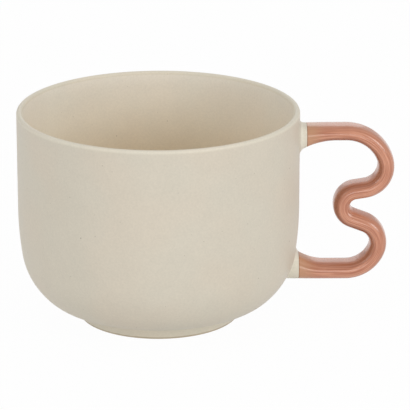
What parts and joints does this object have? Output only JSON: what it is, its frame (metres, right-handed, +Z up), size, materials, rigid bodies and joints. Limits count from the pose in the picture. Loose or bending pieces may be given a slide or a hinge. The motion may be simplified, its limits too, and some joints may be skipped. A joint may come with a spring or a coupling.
{
  "type": "cappuccino cup",
  "caption": "Wide straight-sided stoneware cup with a rounded lower corner, a low foot and a wavy lobed handle, for hot drinks.",
  "frame": {"origin": "on the cup's axis, at the plane that the foot ring stands on", "axes": "+Z up along the cup's axis, +X towards the handle"},
  "size_m": [0.147, 0.11, 0.0835],
  "materials": {
    "cream_glaze": "satin",
    "stub_glaze": "satin",
    "pink_glaze": "gloss",
    "foot_clay": "matte"
  },
  "bodies": {
    "root": {"cup_body": "cream_glaze", "foot_ring": "foot_clay", "handle_loop": "pink_glaze", "upper_handle_stub": "stub_glaze", "lower_handle_stub": "stub_glaze", "upper_slip_joint": "cream_glaze", "lower_slip_joint": "cream_glaze"}
  },
  "joints": []
}
